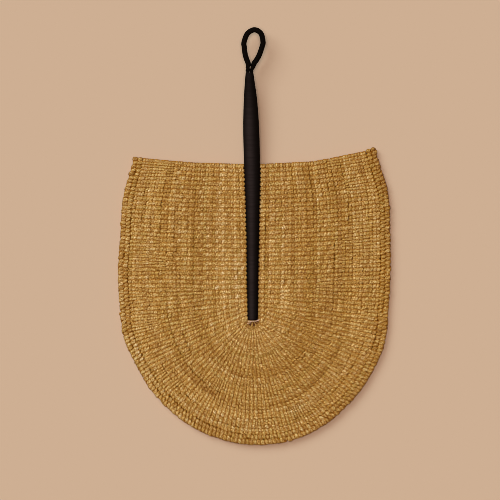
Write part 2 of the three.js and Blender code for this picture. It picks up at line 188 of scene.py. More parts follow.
def blade_point(turn, reach):
    """A point of the weave's middle surface, from 0 beside the handle to 1 at the border."""
    turn, reach = np.broadcast_arrays(turn, reach)
    spine = spine_at(turn)
    edge = inset_outline(fanned_turn(turn), border_width + running_gap)
    point = spine + (edge - spine) * reach[..., None]
    rise = np.maximum(np.maximum(1 - turn, turn - 2), 0)
    dip = np.where(turn < 1, left_dip, right_dip) * rise**2
    tent = np.where(reach < bend_share, reach / bend_share, (1 - reach) / (1 - bend_share))
    crown = border_middle + crown_rise
    bend = crown - crown_rise * crown_fall_share
    z = np.interp(reach, [0, bend_share, 1], [crown, bend, border_middle])
    return np.stack([hub_x + point[..., 0], hub_y + point[..., 1] - dip * tent, z], axis=-1)


def linear(hex_colour):
    """An sRGB hex colour as linear red, green and blue."""
    parts = [int(hex_colour[i : i + 2], 16) / 255 for i in (1, 3, 5)]
    return [c / 12.92 if c <= 0.04045 else ((c + 0.055) / 1.055) ** 2.4 for c in parts]


def unit(vectors):
    """Vectors of length one."""
    return vectors / np.linalg.norm(vectors, axis=-1, keepdims=True)


def lengths_along(path):
    """The length run from a path's start to each of its points."""
    return np.concatenate([[0], np.cumsum(np.linalg.norm(np.diff(path, axis=0), axis=1))])


def swept_rings(path, across, half_width, half_height, sides, closed=False):
    """Oval rings square to a path, wide in the across direction."""
    across = np.broadcast_to(across, path.shape)
    half_width = np.broadcast_to(half_width, len(path))
    half_height = np.broadcast_to(half_height, len(path))
    if closed:
        along = unit(np.roll(path, -1, axis=0) - np.roll(path, 1, axis=0))
    else:
        along = unit(np.gradient(path, axis=0))
    wide = unit(across - along * np.sum(across * along, axis=-1, keepdims=True))
    high = np.cross(along, wide)
    angle = np.arange(sides) * 2 * math.pi / sides
    spread = (half_width[:, None] * np.cos(angle))[..., None] * wide[:, None]
    lift = (half_height[:, None] * np.sin(angle))[..., None] * high[:, None]
    return path[:, None] + spread + lift


def swept_piece(name, runs, material):
    """One mesh from swept runs. Each run has its rings, the length along it for the fibres, whether it
    closes on itself, and on straw a colour, with any painted shade, for every corner of every ring."""
    points, faces, shaded_tints, fibre_places = [], [], [], []
    start = 0
    for rings, lengths, closed, *ring_tints in runs:
        count, sides = rings.shape[:2]
        gaps = count if closed else count - 1
        here, corner = np.meshgrid(np.arange(gaps), np.arange(sides), indexing="ij")
        there = (here + 1) % count
        next_corner = (corner + 1) % sides
        quads = np.stack([here * sides + corner, here * sides + next_corner,
                          there * sides + next_corner, there * sides + corner], axis=-1)
        faces.extend((quads.reshape(-1, 4) + start).tolist())
        from_here = lengths[here]
        to_there = from_here + np.abs(lengths[there] - from_here) * (there > here)
        round_here = corner / sides
        round_next = (corner + 1) / sides
        fibre = np.stack([from_here, round_here, from_here, round_next,
                          to_there, round_next, to_there, round_here], axis=-1)
        fibre_places.append(fibre.reshape(-1, 2))
        if not closed:
            first = start + np.arange(sides)
            faces.append(first[::-1].tolist())
            faces.append((first + (count - 1) * sides).tolist())
            fibre_places.append(np.zeros((2 * sides, 2)))
        points.append(rings.reshape(-1, 3))
        shaded_tints.extend(corner_tints.reshape(-1, 3) for corner_tints in ring_tints)
        start += count * sides
    mesh = bpy.data.meshes.new(name)
    mesh.from_pydata(np.concatenate(points).tolist(), [], faces)
    if shaded_tints:
        tint = mesh.attributes.new("straw_tint_and_shade", "FLOAT_COLOR", "POINT")
        tint_values = np.concatenate(shaded_tints)
        tint.data.foreach_set("color", np.c_[tint_values, np.ones(len(tint_values))].ravel())
    fibre_map = mesh.uv_layers.new(name="fibres")
    fibre_map.data.foreach_set("uv", np.concatenate(fibre_places).ravel())
    mesh.shade_smooth()
    mesh.materials.append(material)
    piece = bpy.data.objects.new(name, mesh)
    bpy.context.scene.collection.objects.link(piece)
    return piece


def add_node(material, kind, links=(), **settings):
    """Adds a node with its settings, and links (input, from node, output) into it."""
    node = material.node_tree.nodes.new(kind)
    for setting, value in settings.items():
        setattr(node, setting, value)
    for target, source, output in links:
        if isinstance(source, bpy.types.Node):
            material.node_tree.links.new(source.outputs[output], node.inputs[target])
        else:
            node.inputs[target].default_value = source
    return node


def surface(name, roughness, specular):
    """A new material with its shader's plain values set."""
    material = bpy.data.materials.new(name)
    material.use_nodes = True
    shader = material.node_tree.nodes["Principled BSDF"]
    shader.inputs["Roughness"].default_value = roughness
    shader.inputs["Specular IOR Level"].default_value = specular
    return material, shader


# Split grass straw, dried and rolled two-ply: satin gold, with fine fibres, flecks where its shiny
# side turns out, and painted shade in the groove where the plies meet, winding round it. Darker
# means browner.
# Each straw keeps a colour of its own, with the painted shade of the hollows, in an attribute. Real
# fibres are too fine to show in the render, so these are drawn several times as wide.
fibre_width = 0.8 * MM
fibre_length = 9 * MM
fleck_width = 1.3 * MM
fleck_length = 1.9 * MM
strand_girth = 10 * MM
ply_pitch = 2.9 * MM
browning = np.array([0.96, 1.45, 3.1])
rolled_straw, straw_shader = surface("rolled_straw", 0.55, 0.22)
fibre_uv = add_node(rolled_straw, "ShaderNodeUVMap", uv_map="fibres")
fibre_grid = add_node(rolled_straw, "ShaderNodeMapping", [("Vector", fibre_uv, "UV")])
fibre_grid.inputs["Scale"].default_value = (1 / fibre_length, strand_girth / fibre_width, 1)
fibres = add_node(rolled_straw, "ShaderNodeTexNoise",
                  [("Vector", fibre_grid, "Vector"), ("Scale", 1.0, 0), ("Detail", 3.0, 0)])
fleck_grid = add_node(rolled_straw, "ShaderNodeMapping", [("Vector", fibre_uv, "UV")])
fleck_grid.inputs["Scale"].default_value = (1 / fleck_length, strand_girth / fleck_width, 1)
flecks = add_node(rolled_straw, "ShaderNodeTexNoise",
                  [("Vector", fleck_grid, "Vector"), ("Scale", 1.0, 0), ("Detail", 1.0, 0)])
ply_slant = (math.pi / ply_pitch, -2 * math.pi, 0)
ply_grid = add_node(rolled_straw, "ShaderNodeVectorMath",
                    [(0, fibre_uv, "UV"), (1, ply_slant, 0)], operation="DOT_PRODUCT")
ply_wave = add_node(rolled_straw, "ShaderNodeMath", [(0, ply_grid, "Value")], operation="SINE")
ply_height = add_node(rolled_straw, "ShaderNodeMath", [(0, ply_wave, "Value")], operation="ABSOLUTE")
straw_tint_and_shade = add_node(rolled_straw, "ShaderNodeAttribute", attribute_name="straw_tint_and_shade")
straw_colour, straw_part = straw_tint_and_shade, "Color"
# Each pattern's range becomes a range of shades. Inputs 7 to 10 of a vector range are its limits.
for pattern, part, low, high, dark, light in (
    (fibres, "Fac", 0.3, 0.7, 0.76, 1.2), (flecks, "Fac", 0.3, 0.7, 0.64, 1.34),
    # The ply groove is painted darker, as painted shade.
    (ply_height, "Value", 0, 0.5, 0.7, 1.05),
):
    shade = add_node(rolled_straw, "ShaderNodeMapRange",
                     [("Vector", pattern, part), (7, (low,) * 3, 0), (8, (high,) * 3, 0),
                      (9, tuple(dark**browning), 0), (10, tuple(light**browning), 0)],
                     data_type="FLOAT_VECTOR")
    straw_colour = add_node(rolled_straw, "ShaderNodeVectorMath",
                            [(0, straw_colour, straw_part), (1, shade, "Vector")], operation="MULTIPLY")
    straw_part = "Vector"
ply_bump = add_node(rolled_straw, "ShaderNodeBump",
                    [("Height", ply_height, "Value"), ("Strength", 0.6, 0), ("Distance", 0.5 * MM, 0)])
fibre_bump = add_node(rolled_straw, "ShaderNodeBump",
                      [("Height", fibres, "Fac"), ("Normal", ply_bump, "Normal"),
                       ("Strength", 0.5, 0), ("Distance", 0.25 * MM, 0)])
rolled_straw.node_tree.links.new(straw_colour.outputs["Vector"], straw_shader.inputs["Base Color"])
rolled_straw.node_tree.links.new(fibre_bump.outputs["Normal"], straw_shader.inputs["Normal"])

straw_colours = ["#BB8F3F", "#C09342", "#B5883C", "#C59D51", "#B08237", "#B99040"]
straw_odds = [0.28, 0.24, 0.2, 0.1, 0.09, 0.09]
straw_palette = np.array([linear(colour) for colour in straw_colours])
# Painted shade: little light comes deep between the strands, so the straw is painted browner there.
# This painted shade fades out between two shares of a strand's height.
hollow_painted_shade = np.array([0.88, 0.55, 0.03])
hollow_from, hollow_to = 0.3, 0.95
least_straw_run, most_straw_run = 8, 20
least_depth = 0.92
darkest_bump, lightest_bump = 0.87, 1.14
dice = np.random.default_rng(35)


def straw_tints_and_shade(place, shade, hollow, room=1):
    """Colours for a run's rings: a new straw every 8 to 20 stakes, with painted shade, browner, in the
    hollows. The bumps differ less in tone where the stakes leave them less room."""
    cut_count = int(place.max() / least_straw_run) + 2
    cuts = np.cumsum(dice.integers(least_straw_run, most_straw_run, size=cut_count))
    straws = dice.choice(len(straw_palette), size=cut_count + 1, p=straw_odds)
    depth = dice.uniform(least_depth, 1, size=cut_count + 1)
    straw = np.searchsorted(cuts, place)
    bump_shades = dice.uniform(darkest_bump, lightest_bump, size=int(place.max()) + 2)
    bump_shade = bump_shades[np.round(place).astype(int)] ** room
    straw_colour = straw_palette[straws[straw]] * (depth[straw] * bump_shade * shade)[:, None] ** browning
    clear = np.clip((hollow - hollow_from) / (hollow_to - hollow_from), 0, 1)[..., None]
    return straw_colour[:, None] * (clear + (1 - clear) * hollow_painted_shade)


# How a course is drawn: the steps round an end stake, the metres by which each run's straw pattern may
# be shifted, how far its bumps differ, and how flat and sharp they get where the stakes crowd.
wrap_steps = 5
pattern_spread = 4
sway_spread, height_spread, fatness_spread = 0.07, 0.05, 0.08
lowest_bump, highest_bump = -1.5, 1
least_room = 0.3
least_lift = 0.5
crowded_sharpness = 1.6


def twined_ring(centre_line, stakes, wrap_length, build, tone):
    """One course as a closed run: over and under every stake, round the end stake, and back.
    centre_line takes a place in stakes and a swing across the course, and gives the point there, the
    way the course runs, its width and the stakes' spacing."""
    samples = np.arange((stakes - 1) * build["steps"] + 1) / build["steps"]
    wrap = np.arange(1, wrap_steps + 1) * math.pi / (wrap_steps + 1)
    last = float(stakes - 1)
    straight, turned = np.zeros(len(samples)), np.zeros(wrap_steps)
    place = np.concatenate([samples, turned + last, samples[::-1], turned])
    forth = np.concatenate([straight, np.sin(wrap), straight, -np.sin(wrap)])
    wave = np.cos(math.pi * samples)
    wave_end = math.cos(math.pi * last)
    lift = np.concatenate([wave, wave_end * np.cos(wrap), -wave[::-1], -np.cos(wrap)])
    swing = np.sin(math.pi * samples) + build["snap"] * np.sin(3 * math.pi * samples)
    swing = np.concatenate([swing, turned, -swing[::-1], turned])
    steps_over = np.arange(len(samples))
    over = np.concatenate([steps_over, turned + len(samples), len(samples) + steps_over,
                           turned + 2 * len(samples)]) / build["steps"]
    crossing = np.round(over).astype(int)
    # The fourth row is spare, and keeps the later draws as they are.
    wobble = dice.normal(0, 1, size=(4, crossing.max() + 2))
    sway = sway_spread * wobble[0][crossing]
    height = build["lift"] * (1 + height_spread * np.clip(wobble[1][crossing], lowest_bump, highest_bump))
    fatness = 1 + fatness_spread * wobble[2][crossing]
    point, course, width, stake_pitch = centre_line(place, build["swing"] * swing + sway)
    room = np.clip(stake_pitch / build["full_pitch"], least_room, 1)
    crest = np.abs(lift) ** np.where(forth == 0, build["fullness"], 1)
    lift = np.sign(lift) * crest * np.abs(lift) ** (crowded_sharpness * (1 - room))
    lift_share = least_lift + (1 - least_lift) * room
    path = point + course * (wrap_length * forth)[:, None]
    path[:, 2] += lift * height * lift_share
    share = build["valley_share"] + (build["crest_share"] - build["valley_share"]) * crest
    share = share + (build["wrap_share"] - share) * np.abs(forth)
    outward = np.stack([course[:, 1], -course[:, 0], np.zeros(len(course))], axis=-1)
    half_height = build["half_height"] * room
    rings = swept_rings(path, outward, width * fatness * share, half_height, build["sides"], closed=True)
    full_height = build["lift"] * lift_share + half_height
    hollow = np.abs(rings[..., 2] - point[:, None, 2]) / full_height[:, None]
    hollow[:, 0] = np.maximum(hollow[:, 0], build["outer_clear"])
    lengths = dice.uniform(0, pattern_spread) + lengths_along(path)
    return rings, lengths, True, straw_tints_and_shade(over, tone(place), hollow, room)


# The weft's strand. The shares are of its course's width, and where the stakes stand closer than the
# full pitch its bumps lie flatter.
weft_build = {"steps": 5, "sides": 6, "lift": 1.5 * MM, "half_height": 0.95 * MM, "swing": 0.2,
              "snap": 0.12, "valley_share": 0.37, "crest_share": 0.62, "wrap_share": 0.54,
              "fullness": 0.5, "full_pitch": 4.4 * MM, "outer_clear": 0}
end_overhang = 0.6 * MM
end_wrap = spine_rise / side_stakes / 2 + end_overhang - weft_build["half_height"]

# The stakes' spacing: coarse beside the handle, finer outwards, and crowded under the hub. It changes
# between two slopes below the hub's level, where 1 is straight down.
inner_pitch, outer_pitch = 5.3 * MM, 4.5 * MM
coarse_reach, fine_reach = 0.3, 0.9
hub_pitch, hub_pitch_growth = 1.5 * MM, 0.083
coarse_below, fine_below = 0.5, 0.8
settling_rounds, settling_share = 3, 0.3


def stake_gaps(turns, reach):
    """The way from each stake to the next along a course, counted in the spacing wanted there."""
    points = blade_point(turns, reach)
    middle = blade_point((turns[1:] + turns[:-1]) / 2, reach)
    from_hub = np.hypot(middle[:, 0] - hub_x, middle[:, 1] - hub_y)
    side_pitch = np.interp(reach, [coarse_reach, fine_reach], [inner_pitch, outer_pitch])
    lower_pitch = np.minimum(hub_pitch + hub_pitch_growth * from_hub, outer_pitch)
    below = (hub_y - middle[:, 1]) / from_hub
    beside = np.clip((fine_below - below) / (fine_below - coarse_below), 0, 1)
    pitch = lower_pitch + (side_pitch - lower_pitch) * beside
    return np.linalg.norm(np.diff(points[:, :2], axis=0), axis=1) / pitch


def next_stakes(turns, reach):
    """The stakes of the next course: more are put in where they stand widest, and all settle."""
    wanted = round(stake_gaps(turns, reach).sum())
    while len(turns) - 1 < wanted:
        widest = int(np.argmax(stake_gaps(turns, reach)))
        turns = np.insert(turns, widest + 1, (turns[widest] + turns[widest + 1]) / 2)
    for _ in range(settling_rounds):
        gaps = stake_gaps(turns, reach)
        lean = (gaps[1:] - gaps[:-1]) / (gaps[1:] + gaps[:-1])
        turns[1:-1] += settling_share * lean * (turns[2:] - turns[:-2]) / 2
    return turns


hub_stakes = 9
stake_jitter = 0.08
stakes_here = (np.arange(side_stakes) + 0.5) / side_stakes
stakes_here[1:] += dice.normal(0, stake_jitter, size=side_stakes - 1) / side_stakes
hub_turns = 1 + (np.arange(hub_stakes) + 0.5) / hub_stakes
stakes_here = np.concatenate([stakes_here, hub_turns, 3 - stakes_here[::-1]])

# The courses differ a little in tone. Four of lighter or darker straw, counted from the handle, show as
# U-shaped bands, and each course gets a little darker from its left end to its right.
course_spread = 0.06
course_shades = dice.normal(1, course_spread, size=sum(band_courses))
marked_courses = {3: 1.05, 7: 1.08, 16: 0.87, 17: 0.87}
for marked_course, marked_shade in marked_courses.items():
    course_shades[marked_course] *= marked_shade
first_tone, tone_fall = 1.01, 0.04
drift_points, drift_spread = 9, 0.06
# A small step either way along the blade, which gives the direction there.
turn_step = 0.004
for band, courses in enumerate(band_courses):
    course_step = (band_shares[band + 1] - band_shares[band]) / courses
    band_runs = []
    for course in range(courses):
        reach = band_shares[band] + (course + 0.5) * course_step
        stakes_here = next_stakes(stakes_here, reach)
        drift = dice.normal(0, drift_spread, size=drift_points)
        shade = course_shades[sum(band_courses[:band]) + course]

        def weft_line(place, swing, reach=reach, drift=drift, turns=stakes_here, step=course_step):
            numbers = np.arange(len(turns))
            turn, before, after = (np.interp(place + by, numbers, turns) for by in (0, -0.5, 0.5))
            stake_way = blade_point(after, reach) - blade_point(before, reach)
            stake_pitch = np.linalg.norm(stake_way[:, :2], axis=1)
            ahead = blade_point(turn + turn_step, reach) - blade_point(turn - turn_step, reach)
            ahead[:, 2] = 0
            wide = blade_point(turn, reach + step / 2) - blade_point(turn, reach - step / 2)
            width = np.linalg.norm(wide[:, :2], axis=1)
            drifted = reach + step * (swing + smooth_share(drift, turn / 3))
            return blade_point(turn, drifted), unit(ahead), width, stake_pitch

        def weft_tone(place, shade=shade):
            return shade * (first_tone - tone_fall * place / place.max())

        band_runs.append(twined_ring(weft_line, len(stakes_here), end_wrap, weft_build, weft_tone))
    weft = swept_piece(f"weft_band_{band + 1}", band_runs, rolled_straw)
    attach(weft, "root")
    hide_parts(f"twined_band_{band + 1}")

# The border: two last courses of thicker straw, twined tight side by side, with a groove between.
# They stand proud of the weave on both faces and finish the two sides and the round bottom.
border_build = {"steps": 5, "sides": 6, "lift": 1.6 * MM, "half_height": 1.35 * MM, "swing": 0.3,
                "snap": 0.15, "valley_share": 0.3, "crest_share": 0.48, "wrap_share": 0.45,
                "fullness": 0.9, "full_pitch": 1 * MM}
# The outer row's outer side gets little of the painted hollow shade, since no neighbour shades it,
# and both rows run a little past the corners.
outer_clears = [0.75, 0]
corner_overshoots = [0.012, 0.005]
knob_pitch = 4.6 * MM
border_row_width = border_width / 2
# The border is painted darker towards its right end, as painted shade where it turns away from the lamp on
# the left.
border_painted_shade_fall = 0.22
outline_steps = 601
border_runs = []
for row in range(2):
    inset = (row + 0.5) * border_row_width
    fine_turns = np.linspace(0, 3 + corner_overshoots[row], outline_steps)
    run_length = lengths_along(inset_outline(fine_turns, inset))
    knobs = int(run_length[-1] / knob_pitch)
    knob_places = (np.arange(knobs) + 0.5) * run_length[-1] / knobs
    knob_turns = np.interp(knob_places, run_length, fine_turns)

    def border_line(place, swing, inset=inset, knob_turns=knob_turns):
        turn = np.interp(place, np.arange(len(knob_turns)), knob_turns)
        ahead = inset_outline(turn + turn_step, inset) - inset_outline(turn - turn_step, inset)
        course = unit(np.c_[ahead, np.zeros(len(turn))])
        outward = np.stack([course[:, 1], -course[:, 0]], axis=-1)
        flat = inset_outline(turn, inset) + outward * (swing * border_row_width)[:, None]
        point = np.c_[hub_x + flat[:, 0], hub_y + flat[:, 1], np.full(len(turn), border_middle)]
        return point, course, np.full(len(turn), border_row_width), np.full(len(turn), knob_pitch)

    def border_painted_shade(place):
        return 1 - border_painted_shade_fall * (place / place.max()) ** 2

    border_runs.append(twined_ring(border_line, knobs, knob_pitch / 2 - border_build["half_height"],
                                   {**border_build, "outer_clear": outer_clears[row]}, border_painted_shade))
border = swept_piece("border_knots", border_runs, rolled_straw)
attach(border, "root")
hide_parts("rim_border")

# The starter: straws gathered under the leather's end and fanned out over the lower half turn, with
# small gaps between the upper ones where the lower ones show, painted dark as shade in the gaps.
# They run on inside the first courses.
starter_upper = [(192, 12), (217, 12), (263, 13), (304, 8), (331, 5), (353, 7)]
starter_lower = [(239, 15), (286, 14), (320, 12), (342, 10)]
starter_start, starter_end = 2 * MM, 11 * MM
starter_steps, straw_sides = 7, 10
starter_half_height = 1.2 * MM
layer_drop = 1.3 * MM
# The upper straws' tone, and the lower straws darkened as painted shade.
layer_tones_and_shade = [1.02, 0.25]
starter_runs = []
for layer, straw_fan in enumerate((starter_upper, starter_lower)):
    for heading_angle, spread_angle in straw_fan:
        angle, spread = math.radians(heading_angle), math.radians(spread_angle)
        away = np.linspace(starter_start, starter_end, starter_steps)
        heading = np.array([math.cos(angle), math.sin(angle), 0])
        path = np.array([hub_x, hub_y, border_middle + crown_rise]) + away[:, None] * heading
        path[:, 2] -= layer * layer_drop
        sideways = (-heading[1], heading[0], 0)
        rings = swept_rings(path, sideways, away * math.tan(spread), starter_half_height, straw_sides)
        hollow = np.abs(rings[..., 2] - path[:, None, 2]) / starter_half_height
        shaded_tints = straw_tints_and_shade(np.ones(len(away)), layer_tones_and_shade[layer], hollow)
        starter_runs.append((rings, dice.uniform(0, pattern_spread) + away, False, shaded_tints))
starter = swept_piece("starter_straws", starter_runs, rolled_straw)
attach(starter, "root")
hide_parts("starter_bundle")

# The pale straw tied across the starter just below the leather's square end. One end runs up past
# the leather's corner, and a shorter turn of it shows below on the left.
tie_low, tie_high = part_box("hub_tie")
tie_middle = (tie_low + tie_high) / 2
tie_turns = [
    ([(-4.7, 0.1, -1.2), (-3.6, 0, 0), (0, 0.3, 0.4), (3.4, 0.6, 0.4), (6.4, 1.6, 0.1),
      (8.2, 2.7, -0.9)], 0.68 * MM),
    ([(-6.8, -2.4, -1.0), (-5.4, -2.0, -0.2), (-3.4, -1.7, -0.2), (-2.0, -1.6, -1.2)], 0.5 * MM),
]
tie_colour = np.array(linear("#DDB47E"))
tie_steps = 25
tie_runs = []
for stations, radius in tie_turns:
    steps = np.linspace(0, 1, tie_steps)
    offsets = np.stack([smooth_share(column, steps) for column in zip(*stations)], axis=-1) * MM
    path = np.array(tie_middle) + offsets
    rings = swept_rings(path, (0, 1, 0), radius, radius, straw_sides)
    tie_runs.append((rings, lengths_along(path), False, np.broadcast_to(tie_colour, rings.shape)))
tie = swept_piece("starter_tie", tie_runs, rolled_straw)
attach(tie, "root")
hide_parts("hub_tie")

# The stakes and the straw cores of the handle and loop: plain dried straw, hidden by the weft and
# the leather but for glimpses. They keep the frame's own shapes, with fibres along each stem, drawn
# as wide as the weft's.
plain_straw, plain_shader = surface("plain_straw", 0.6, 0.3)
stem_fibre_length, stem_fibre_width = 16.7 * MM, 0.833 * MM
stem_scale = 1 / stem_fibre_width
straw_place = add_node(plain_straw, "ShaderNodeTexCoord")
straw_grid = add_node(plain_straw, "ShaderNodeMapping", [("Vector", straw_place, "Object")])
straw_grid.inputs["Scale"].default_value = (1 / stem_fibre_length, stem_scale, stem_scale)
stem_fibres = add_node(plain_straw, "ShaderNodeTexNoise",
                       [("Vector", straw_grid, "Vector"), ("Scale", 1.0, 0), ("Detail", 2.0, 0)])
stem_colours = add_node(plain_straw, "ShaderNodeValToRGB", [("Fac", stem_fibres, "Fac")])
stem_colours.color_ramp.elements[0].color = (*linear("#8F6427"), 1)
stem_colours.color_ramp.elements[1].color = (*linear("#C79B52"), 1)
plain_straw.node_tree.links.new(stem_colours.outputs["Color"], plain_shader.inputs["Base Color"])
for node_name, node_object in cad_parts.items():
    if node_name.startswith("stake_") or node_name in ("handle_core", "loop_core"):
        node_object.data.materials.clear()
        node_object.data.materials.append(plain_straw)

# Vegetable-tanned goatskin, dyed black: satin, with a pebbled grain about 0.6 mm apart and faint
# lines across the handle where the leather is drawn over the straw inside. The sleeve's front is
# painted paler a little left of its middle, fading to its edges and towards the neck: a painted
# sheen where the lamps light it, with painted shade at the edges, held in an attribute on the sleeve.
grain_spacing = 0.6 * MM
line_spacing, line_length = 2.38 * MM, 40 * MM
black_leather, leather_shader = surface("black_goatskin", 0.72, 0.02)
leather_place = add_node(black_leather, "ShaderNodeTexCoord")
grain = add_node(black_leather, "ShaderNodeTexVoronoi",
                 [("Vector", leather_place, "Object"), ("Scale", 1 / grain_spacing, 0)])
cross_grid = add_node(black_leather, "ShaderNodeMapping", [("Vector", leather_place, "Object")])
cross_grid.inputs["Scale"].default_value = (1 / line_length, 1 / line_spacing, 1 / line_length)
cross_lines = add_node(black_leather, "ShaderNodeTexNoise",
                       [("Vector", cross_grid, "Vector"), ("Scale", 1.0, 0), ("Detail", 2.0, 0)])
painted_sheen = add_node(black_leather, "ShaderNodeAttribute", attribute_name="painted_sheen")
line_shade = add_node(black_leather, "ShaderNodeMapRange",
                      [("Value", cross_lines, "Fac"), ("From Min", 0.38, 0), ("From Max", 0.62, 0),
                       ("To Min", 0.75, 0)])
sheen_lines = add_node(black_leather, "ShaderNodeMath",
                        [(0, line_shade, "Result"), (1, painted_sheen, "Fac")], operation="MULTIPLY")
leather_colours = add_node(black_leather, "ShaderNodeValToRGB", [("Fac", sheen_lines, "Value")])
leather_colours.color_ramp.elements[0].color = (*linear("#0A0604"), 1)
leather_colours.color_ramp.elements[1].color = (*linear("#2C2321"), 1)
line_bump = add_node(black_leather, "ShaderNodeBump",
                     [("Height", cross_lines, "Fac"), ("Strength", 0.35, 0), ("Distance", 0.8 * MM, 0)])
grain_bump = add_node(black_leather, "ShaderNodeBump",
                      [("Height", grain, "Distance"), ("Normal", line_bump, "Normal"),
                       ("Strength", 0.35, 0), ("Distance", 0.2 * MM, 0)])
black_leather.node_tree.links.new(leather_colours.outputs["Color"], leather_shader.inputs["Base Color"])
black_leather.node_tree.links.new(grain_bump.outputs["Normal"], leather_shader.inputs["Normal"])

# The leather sleeve on the handle: one skin drawn tight over the straw core, flat behind and
# rounded in front, square at the hub and narrowing to the neck. It is lofted from its end section.
section_shares = [(1, 0.22), (1, 0.77), (0.88, 0.95), (0.4, 1.02), (-0.4, 1.02), (-0.88, 0.95),
                  (-1, 0.77), (-1, 0.22), (-0.72, -0.01), (0.72, -0.01)]
bpy.ops.mesh.primitive_circle_add(vertices=len(section_shares), fill_type="NGON")
sleeve = bpy.context.object
sleeve.name = "goatskin_sleeve"
sleeve_start = -handle_overhang
smoothing_take = 1.045
middle, half_width, bottom, thickness = handle_at(sleeve_start)
for vertex, (across_share, up_share) in zip(sleeve.data.vertices, section_shares):
    vertex.co = (hub_x + middle + smoothing_take * half_width * across_share, hub_y + sleeve_start,
                 bottom + thickness * up_share)
end_lip = 0.5 * MM
heights = [sleeve_start + handle_length * place for place in handle_places]
heights = [sleeve_start, sleeve_start + end_lip, *heights[1:-1], heights[-1] - end_lip, heights[-1]]
bpy.ops.object.mode_set(mode="EDIT")
bpy.ops.mesh.select_all(action="SELECT")
for here, there in zip(heights, heights[1:]):
    old_middle, old_half, old_bottom, old_thickness = handle_at(here)
    middle, half_width, bottom, thickness = handle_at(there)
    shift = (middle - old_middle, there - here, bottom - old_bottom)
    bpy.ops.mesh.extrude_region_move(TRANSFORM_OT_translate={"value": shift})
    bpy.ops.transform.resize(value=(half_width / old_half, 1, thickness / old_thickness),
                             center_override=(hub_x + middle, hub_y + there, bottom))
bpy.ops.mesh.select_all(action="SELECT")
bpy.ops.mesh.normals_make_consistent(inside=False)
bpy.ops.object.mode_set(mode="OBJECT")
smooth = sleeve.modifiers.new("smooth", "SUBSURF")
smooth.levels = 2
smooth.render_levels = 2
bpy.ops.object.modifier_apply(modifier="smooth")
# The painted sheen: paler a little left of the front's middle, darker to the edges, weaker near the neck.
sheen_middle, sheen_width = -0.25, 0.52
neck_length, least_sheen = 60 * MM, 0.4
painted_sheen_here = sleeve.data.attributes.new("painted_sheen", "FLOAT", "POINT")
corners = np.array([vertex.co for vertex in sleeve.data.vertices])
corner_heights = corners[:, 1] - hub_y
middle, half_width, _, _ = handle_at(corner_heights)
from_middle = (corners[:, 0] - hub_x - middle) / half_width
grip_share = np.clip((handle_length - corner_heights) / neck_length, least_sheen, 1)
across_share = np.exp(-(((from_middle - sheen_middle) / sheen_width) ** 2))
painted_sheen_here.data.foreach_set("value", grip_share * across_share)
sleeve.data.shade_smooth()
sleeve.data.materials.append(black_leather)
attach(sleeve, "root")
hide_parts("leather_sleeve")

# The lacing: the leather's two edges are drawn together through the weave, with one short black
# stitch in every gap between two stakes, down both sides of the handle.
stitch_out = np.array([-1.2, 0.2, 1.0, 1.15, 1.0, 0.2, -1.2]) * MM
stitch_up = np.array([4.6, 4.0, 2.6, 0, -2.6, -4.0, -4.6]) * MM
stitch_half_width, stitch_half_height = 0.85 * MM, 0.5 * MM
cord_sides = 8
hub_tuck = 0.9 * MM
weave_middle = border_middle + crown_rise
stitch_runs = []
for gap_number in range(1, side_stakes):
    height = spine_rise * (1 - gap_number / side_stakes)
    middle, half_width, _, _ = handle_at(height)
    out = stitch_out - hub_tuck * max(1 - height / hug_top, 0)
    for side in (-1, 1):
        path = np.stack([hub_x + middle + side * (half_width + out),
                         np.full(len(out), hub_y + height), weave_middle + stitch_up], axis=-1)
        rings = swept_rings(path, (0, 1, 0), stitch_half_width, stitch_half_height, cord_sides)
        stitch_runs.append((rings, stitch_up, False))
lacing = swept_piece("leather_lacing", stitch_runs, black_leather)
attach(lacing, "root")

# The hanging loop: a straw cord in a black leather skin, bent into a teardrop, its two legs tucked
# into the sleeve's mouth. The skin is wound on, so a low ridge spirals round it.
neck_height = handle_length - handle_overhang + running_gap
binding_height = 3 * MM
loop_start = neck_height + binding_height
loop_half_width = 11.4 * MM
loop_length = 47.5 * MM
loop_lift = 1.5 * MM
loop_lean = 6 * MM
lean_power = 0.6
leg_width, leg_thickness = 4.1 * MM, 4.8 * MM
strand_width, strand_thickness = 6.3 * MM, 6.2 * MM
loop_across = [0.19, 0.19, 0.19, 0.245, 0.3, 0.513, 0.75, 0.94, 1, 0.785, 0.43, 0]
loop_up = [-0.3, -0.068, 0, 0.075, 0.153, 0.244, 0.379, 0.576, 0.687, 0.874, 0.965, 1]
loop_full = [0, 0, 0.2, 0.75, 1, 1.04, 1.04, 1.04, 1.04, 1.04, 1.04, 1.04]
loop_samples, loop_sides = 121, 20
loop_steps = np.linspace(0, 1, loop_samples)
across = smooth_share([-share for share in loop_across] + loop_across[-2::-1], loop_steps)
up = smooth_share(loop_up + loop_up[-2::-1], loop_steps)
full = smooth_share(loop_full + loop_full[-2::-1], loop_steps)
free = np.maximum(up, 0)
loop_heights = loop_start + loop_length * up
middle, _, bottom, thickness = handle_at(loop_heights)
loop_path = np.stack([hub_x + middle + loop_half_width * across + loop_lean * free**lean_power,
                      hub_y + loop_heights, bottom + thickness / 2 + loop_lift * free], axis=-1)
loop_along = unit(np.gradient(loop_path, axis=0))
loop_side = np.stack([-loop_along[:, 1], loop_along[:, 0], np.zeros(len(loop_path))], axis=-1)
half_width = (leg_width + (strand_width - leg_width) * full) / 2
half_thickness = (leg_thickness + (strand_thickness - leg_thickness) * full) / 2
loop_rings = swept_rings(loop_path, loop_side, half_width, half_thickness, loop_sides)
loop_lengths = lengths_along(loop_path)
wind_pitch = 4.5 * MM
ridge_height = 0.16 * MM
wind = loop_lengths[:, None] / wind_pitch - np.arange(loop_sides) / loop_sides
ridge = ridge_height * ((np.abs(wind % 1 - 0.5) * 2) ** 3 - 0.5)
loop_rings += unit(loop_rings - loop_path[:, None]) * ridge[..., None]
loop_skin = swept_piece("loop_goatskin", [(loop_rings, loop_lengths, False)], black_leather)
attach(loop_skin, "root")
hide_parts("loop_skin")

